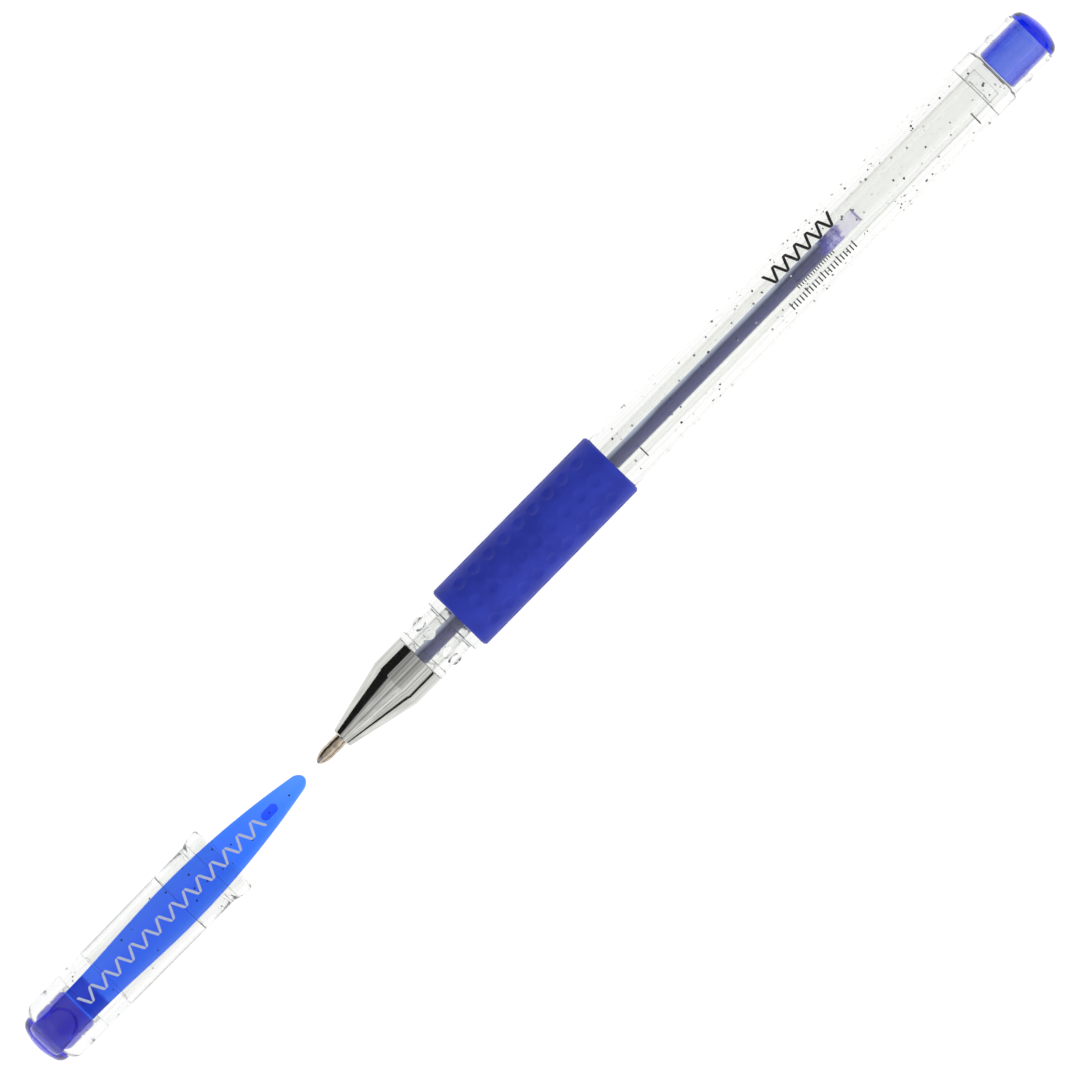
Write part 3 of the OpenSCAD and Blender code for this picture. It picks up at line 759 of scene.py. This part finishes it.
root_rows = [
    ((-53.72, 1.8), (-52.34, 1.8), 2.60, 2.4), ((-53.68, 2.8), (-52.34, 2.8), 2.62, 2.4),
    ((-53.52, 3.8), (-52.34, 3.7), 2.66, 2.5), ((-53.20, 4.8), (-52.32, 4.5), 2.72, 2.6),
    ((-52.70, 5.75), (-52.28, 5.0), 2.76, 2.7), ((-52.10, 6.45), (-51.95, 5.1), 2.76, 2.9),
    ((-51.40, 6.98), (-51.35, 5.12), 2.73, 3.2), ((-50.70, 7.28), (-50.75, 5.22), 2.69, 3.6),
    ((-50.00, 7.40), (-50.10, 5.45), 2.66, 4.0), ((-49.3, 7.42), (-49.3, 5.68), 2.65, 4.4),
    ((-48.5, 7.46), (-48.4, 5.74), 2.65, 4.8)]
BLADE_START = -47.4
blade_rows = []
for i in range(97):
    x = BLADE_START + (CLIP_TIP - 0.02 - BLADE_START) * (1 - (1 - i / 96) ** 1.35)
    ends = (x, height_on(top_line, x)), (x, height_on(under_line, x))
    blade_rows.append((*ends, max(clip_half(x), 0.12), 5.0))
clip_bar = loft("crown_clip", root_rows + blade_rows, blue_clip)


def stadium(name, x0, x1, half, z0, z1, material, edge=0.12, around=40):
    """An upright oval post with rounded lower edges, from z0 up to z1."""
    rows = []
    for z, inset in ((z0, edge), (z0 + edge * 0.3, edge * 0.3), (z0 + edge, 0), (z1, 0)):
        for k in range(around):
            a = 2 * math.pi * k / around
            cx = x1 - half if math.cos(a) >= 0 else x0 + half
            rows.append((cx + (half - inset) * math.cos(a), (half - inset) * math.sin(a), z))
    faces = []
    for base in (0, around, 2 * around):
        for k in range(around):
            m = (k + 1) % around
            faces.append((base + k, base + m, base + around + m, base + around + k))
    faces += [list(range(around)), [3 * around + k for k in range(around)]]
    return add_mesh(name, rows, faces, material)


PAD_SLOPE = 0.40


def half_pad(x0, radius, z0, z1, material, around=32):
    """A D-shaped pad, straight at the back and round in front, with a rim that slopes in downwards."""
    def ring_of(r):
        turns = [math.pi * k / around for k in range(around + 1)]
        return [(x0 - 0.8, -r), (x0 - 0.8, r)] + [(x0 + r * math.sin(a), r * math.cos(a)) for a in turns]

    ring = ring_of(radius)
    verts = [(x, y, z0) for x, y in ring_of(radius - PAD_SLOPE)] + [(x, y, z1) for x, y in ring]
    n = len(ring)
    faces = [list(range(n)), list(range(n, 2 * n))]
    faces += [(i, (i + 1) % n, n + (i + 1) % n, n + i) for i in range(n)]
    return add_mesh("clip_pad", verts, faces, material)


crown_points = [(-x, r) for x, r in plug_outline(0.94 - LEDGE_X, -CAP_END, -CROWN_BEAD_X)]
crown = lathe("crown_plug", crown_points, blue_clip, 160, closed=False)
nub = stadium("clip_nub", -10.62, -7.92, 0.65, 5.38, 6.6, blue_clip)
pad = half_pad(PAD_X, 2.3, 5.1, 5.9, blue_clip)
clip_bar = union(clip_bar, crown, nub, pad)


def flex(obj):
    """Bakes a piece of the clip into the row's frame."""
    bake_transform(obj)


def keep_rest_place(obj):
    """Stores where each point is at rest, so that the tints and the painted sheen and shade stay on the piece
    when it slides and bends.
    """
    mesh = obj.data
    spots = np.empty(3 * len(mesh.vertices), np.float32)
    mesh.vertices.foreach_get("co", spots)
    mesh.attributes.new(REST_PLACE, "FLOAT_VECTOR", "POINT").data.foreach_set("vector", spots)


keep_rest_place(clip_bar)
flex(clip_bar)
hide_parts("crown", "clip_arm")


# ---------------------------------------------------------------- printed marks

def mark(outline, surface, lift=0.012, sink=0.02):
    """Vertices and faces of one flat mark: a fan of rings inside an outline, laid on a surface."""
    cx = sum(p[0] for p in outline) / len(outline)
    cy = sum(p[1] for p in outline) / len(outline)
    verts, faces = [], []
    n = len(outline)
    for offset in (lift, -sink):
        base = len(verts)
        for share in (1.0, 0.66, 0.33):
            for x, y in outline:
                verts.append(surface(cx + (x - cx) * share, cy + (y - cy) * share, offset))
        verts.append(surface(cx, cy, offset))
        for ring in range(2):
            for k in range(n):
                m = (k + 1) % n
                faces.append((base + ring * n + k, base + ring * n + m, base + (ring + 1) * n + m,
                              base + (ring + 1) * n + k))
        for k in range(n):
            faces.append((base + 2 * n + k, base + 2 * n + (k + 1) % n, base + 3 * n))
    bottom = 3 * n + 1
    for k in range(n):
        m = (k + 1) % n
        faces.append((k, m, bottom + m, bottom + k))
    return verts, faces


def bar(x0, x1, y0, y1, corner=0.3, slant=0.0, each=4):
    """Outline of a rounded bar, its corners cut into short steps."""
    corner = min(corner, (x1 - x0) / 2, (y1 - y0) / 2)
    out = []
    for cx, cy, a0 in ((x1 - corner, y1 - corner, 0), (x0 + corner, y1 - corner, 90),
                       (x0 + corner, y0 + corner, 180), (x1 - corner, y0 + corner, 270)):
        for k in range(each + 1):
            a = math.radians(a0 + 90 * k / each)
            x, y = cx + corner * math.cos(a), cy + corner * math.sin(a)
            out.append((x + slant * (y - (y0 + y1) / 2), y))
    return out


def marks(name, outlines, surface, material):
    """One piece made of a mark for each outline."""
    verts, faces = [], []
    for outline in outlines:
        v, f = mark(outline, surface)
        faces += [tuple(n + len(verts) for n in face) for face in f]
        verts += v
    return add_mesh(name, verts, faces, material, sharp=40)


def on_barrel(x, y, offset):
    """A point on the barrel's outside, y being the height seen from above."""
    turn = math.asin(max(-0.99, min(0.99, y / BARREL_R)))
    radius = BARREL_R + offset
    return (x, radius * math.sin(turn), radius * math.cos(turn))


def on_clip(x, y, offset):
    return (x, y, clip_top_at(x, y) + offset)


def zigzag(count, x0, pitch, width, y0, y1, corner, slant):
    """Bars in a row that lean one way and the other by turns."""
    starts = [x0 + i * pitch for i in range(count)]
    return [bar(x, x + width, y0, y1, corner, slant if i % 2 else -slant) for i, x in enumerate(starts)]


big_marks = zigzag(12, 89.9, 1.06, 0.45, 1.15, 3.2, 0.2, 0.42)
small_marks = [bar(92.1 + i * 0.42, 92.26 + i * 0.42, -1.62, -1.12, 0.07) for i in range(17)]
wide_marks = [bar(89.6 + i * 0.6, 89.8 + i * 0.6, -3.2, -2.25 if i % 5 else -2.0, 0.09) for i in range(21)]
barrel_marks = marks("barrel_print", big_marks + small_marks + wide_marks, on_barrel, black_print)
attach(barrel_marks, "pen")
ticks = [bar(61.41, 61.59, -2.86, -1.23, 0.08), bar(125.41, 125.59, -3.5, -1.5, 0.08)]
barrel_ticks = marks("barrel_ticks", ticks, on_barrel, black_print)
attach(barrel_ticks, "pen")

clip_marks = zigzag(27, -45.3, 1.3, 0.42, -1.0, 0.95, 0.19, 0.5)
clip_print = marks("clip_print", clip_marks, on_clip, grey_print)
flex(clip_print)


# ---------------------------------------------------------------- glitter

# A flake's smallest and largest radius, half its thickness, and the spread of its tilt.
FLAKE_R, FLAKE_HALF, FLAKE_TILT = (0.12, 0.21), 0.012, 0.35


def flakes(name, spots, seed):
    """Thin six-sided flakes at the spots; a spot is a centre and a direction to face, in millimetres."""
    rng = random.Random(seed)
    verts, faces = [], []
    for centre, facing in spots:
        radius = rng.uniform(*FLAKE_R)
        tilt = Vector((rng.gauss(0, FLAKE_TILT), rng.gauss(0, FLAKE_TILT), rng.gauss(0, FLAKE_TILT)))
        normal = (Vector(facing) + tilt).normalized()
        side = normal.orthogonal().normalized()
        side.rotate(Matrix.Rotation(rng.uniform(0, math.pi), 3, normal))
        other = normal.cross(side)
        base = len(verts)
        for lift in (-FLAKE_HALF, FLAKE_HALF):
            for k in range(6):
                a = math.pi * k / 3
                verts.append(tuple(Vector(centre) + radius * (math.cos(a) * side + math.sin(a) * other)
                                   + normal * lift))
        faces += [tuple(base + k for k in range(6)), tuple(base + 6 + k for k in range(6))]
        faces += [(base + k, base + (k + 1) % 6, base + 6 + (k + 1) % 6, base + 6 + k) for k in range(6)]
    return add_mesh(name, verts, faces, glitter_flake, sharp=20)


def in_wall(rng, count, x0, x1, r0, r1):
    """Spots inside a tube's wall."""
    spots = []
    for _ in range(count):
        turn, radius = rng.uniform(0, 2 * math.pi), rng.uniform(r0, r1)
        side, up = math.sin(turn), math.cos(turn)
        facing = (0, 0.4 * side, 0.4 * up + 0.6)
        spots.append(((rng.uniform(x0, x1), radius * side, radius * up), facing))
    return spots


rng = random.Random(7)
pen_spots = in_wall(rng, 120, 58.0, 124.5, 3.0, 4.2) + in_wall(rng, 60, 92.0, 127.8, 3.1, 4.2)
pen_spots += in_wall(rng, 16, 128.3, 131.2, 3.6, 4.2) + in_wall(rng, 3, 21.4, 25.8, 2.9, 3.5)
pen_glitter = flakes("barrel_glitter", pen_spots, 11)
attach(pen_glitter, "pen")
cap_spots = in_wall(rng, 8, -44.8, -41.6, 3.0, 4.5) + in_wall(rng, 12, -40.5, -22.5, 4.45, 4.72)
cap_glitter = flakes("cap_glitter", cap_spots, 12)
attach(cap_glitter, "cap")
clip_spots = []
for _ in range(20):
    x = rng.uniform(-46, -4.5)
    half = clip_half(x) - 0.7
    middle = (height_on(top_line, x) + height_on(under_line, x)) / 2
    clip_spots.append(((x, rng.uniform(-half, half), middle + rng.uniform(-0.2, 0.35)), (0, 0, 1)))
clip_glitter = flakes("clip_glitter", clip_spots, 13)
flex(clip_glitter)


# ---------------------------------------------------------------- floor, light and camera

bm = bmesh.new()
bmesh.ops.create_grid(bm, x_segments=8, y_segments=8, size=1.5)
floor_mesh = bpy.data.meshes.new("floor")
bm.to_mesh(floor_mesh)
bm.free()
floor_mesh.materials.append(floor_paint.material)
floor = bpy.data.objects.new("floor", floor_mesh)
bpy.context.scene.collection.objects.link(floor)

world = bpy.data.worlds.new("light_tent")
world.use_nodes = True
bpy.context.scene.world = world
tree = world.node_tree
nodes, links = tree.nodes, tree.links
direction = nodes.new("ShaderNodeTexCoord").outputs["Generated"]
split = nodes.new("ShaderNodeSeparateXYZ")
links.new(direction, split.inputs[0])


def world_map(value, from_lo, from_hi, to_lo, to_hi):
    node = nodes.new("ShaderNodeMapRange")
    node.interpolation_type = "SMOOTHSTEP"
    for key, number in zip(MAP_RANGE, (from_lo, from_hi, to_lo, to_hi)):
        if isinstance(number, (int, float)):
            node.inputs[key].default_value = number
        else:
            links.new(number, node.inputs[key])
    links.new(value, node.inputs["Value"])
    return node.outputs["Result"]


def world_math(operation, a, b):
    node = nodes.new("ShaderNodeMath")
    node.operation = operation
    for i, value in enumerate((a, b)):
        if isinstance(value, (int, float)):
            node.inputs[i].default_value = value
        else:
            links.new(value, node.inputs[i])
    return node.outputs[0]


# Mirror reflections see a tent with soft strips along the pen, above a dark band low down. All other light
# comes from a plain soft tent, a little brighter on one side. DARK is the band's brightness, and a
# reflection that runs along the pen sees at least SIDE.
DARK, SIDE = 0.015, 0.75
path = nodes.new("ShaderNodeLightPath").outputs
turn_round = world_math("ARCTAN2", split.outputs["Y"], split.outputs["Z"])
strips = nodes.new("ShaderNodeTexNoise")
strips.noise_dimensions = "1D"
strips.inputs["Scale"].default_value = 5.0
strips.inputs["Detail"].default_value = 3.0
links.new(turn_round, strips.inputs["W"])
dark_top = world_map(split.outputs["Y"], -0.35, 0.35, 0.20, 0.66)
bright_from = world_math("ADD", dark_top, 0.06)
above = world_math("MULTIPLY", world_map(strips.outputs["Fac"], 0.38, 0.62, 0.45, 1.0),
                   world_map(split.outputs["Z"], 0.80, 0.95, 0.95, 0.62))
above = world_math("MULTIPLY", above, world_map(split.outputs["Y"], -0.5, 0.5, 1.40, 0.88))
across_pen = world_map(split.outputs["Z"], dark_top, bright_from, DARK, above)
along_pen = world_map(world_math("ABSOLUTE", split.outputs["X"], 0.0), 0.50, 0.75, 0.0, SIDE)
mirrored_room = world_math("MAXIMUM", across_pen, along_pen)
soft = world_map(split.outputs["Y"], -0.9, 0.9, 1.25, 0.70)
not_through = world_math("SUBTRACT", 1.0, path["Is Transmission Ray"])
mirror = world_math("MULTIPLY", path["Is Glossy Ray"], not_through)
strength = world_math("ADD", world_math("MULTIPLY", mirror, mirrored_room),
                      world_math("MULTIPLY", world_math("SUBTRACT", 1.0, mirror), soft))
links.new(strength, nodes["Background"].inputs["Strength"])
nodes["Background"].inputs["Color"].default_value = (1, 1, 1, 1)

LENS, SENSOR, VIEW_WIDTH, TURN = 600.0, 36.0, 0.1473, math.radians(-45.54)
camera_data = bpy.data.cameras.new("camera")
camera_data.lens = LENS
camera_data.sensor_width = SENSOR
camera_data.clip_start = 0.05
camera_data.clip_end = 20
camera = bpy.data.objects.new("camera", camera_data)
camera.location = (-0.00035, -0.00035, VIEW_WIDTH * LENS / SENSOR + AXIS_Z * MM)
camera.rotation_euler = (0, 0, TURN)
bpy.context.scene.collection.objects.link(camera)
bpy.context.scene.camera = camera

scene = bpy.context.scene
scene.view_settings.view_transform = "Standard"
scene.cycles.max_bounces = 24
scene.cycles.transmission_bounces = 20
scene.cycles.glossy_bounces = 8
scene.cycles.diffuse_bounces = 4
scene.cycles.use_denoising = True
scene.cycles.blur_glossy = 0.0
scene.cycles.sample_clamp_indirect = 4.0
